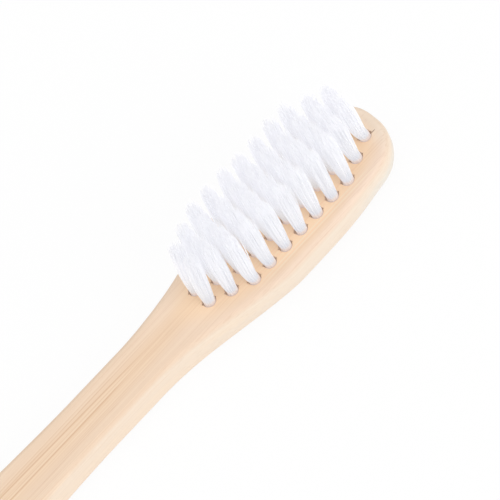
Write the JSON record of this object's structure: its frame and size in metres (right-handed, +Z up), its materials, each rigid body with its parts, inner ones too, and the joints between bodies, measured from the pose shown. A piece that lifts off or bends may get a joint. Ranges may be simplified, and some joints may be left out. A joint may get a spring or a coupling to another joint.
{
  "type": "manual toothbrush",
  "caption": "Straight manual toothbrush with a flat bamboo handle, a slim neck, a rounded head and flat-trimmed upright nylon tufts.",
  "frame": {"origin": "on the surface the brush lies on, under the middle of its length and width", "axes": "+X along the brush towards the toe of the head, +Z up along the bristles, +Y across the head"},
  "size_m": [0.19, 0.0126, 0.0148],
  "materials": {
    "bamboo": "sanded smooth, unvarnished",
    "bristle_nylon": "satin filaments",
    "anchor_metal": "bright strip"
  },
  "bodies": {
    "root": {"handle": "bamboo", "anchors": "anchor_metal", "tuft_01": "bristle_nylon", "tuft_02": "bristle_nylon", "tuft_03": "bristle_nylon", "tuft_04": "bristle_nylon", "tuft_05": "bristle_nylon", "tuft_06": "bristle_nylon", "tuft_07": "bristle_nylon", "tuft_08": "bristle_nylon", "tuft_09": "bristle_nylon", "tuft_10": "bristle_nylon", "tuft_11": "bristle_nylon", "tuft_12": "bristle_nylon", "tuft_13": "bristle_nylon", "tuft_14": "bristle_nylon", "tuft_15": "bristle_nylon", "tuft_16": "bristle_nylon", "tuft_17": "bristle_nylon", "tuft_18": "bristle_nylon", "tuft_19": "bristle_nylon", "tuft_20": "bristle_nylon", "tuft_21": "bristle_nylon", "tuft_22": "bristle_nylon", "tuft_23": "bristle_nylon", "tuft_24": "bristle_nylon", "tuft_25": "bristle_nylon", "tuft_26": "bristle_nylon", "tuft_27": "bristle_nylon", "tuft_28": "bristle_nylon", "tuft_29": "bristle_nylon", "tuft_30": "bristle_nylon", "tuft_31": "bristle_nylon", "tuft_32": "bristle_nylon", "tuft_33": "bristle_nylon", "tuft_34": "bristle_nylon", "tuft_35": "bristle_nylon", "tuft_36": "bristle_nylon", "tuft_37": "bristle_nylon", "tuft_38": "bristle_nylon"}
  },
  "joints": []
}
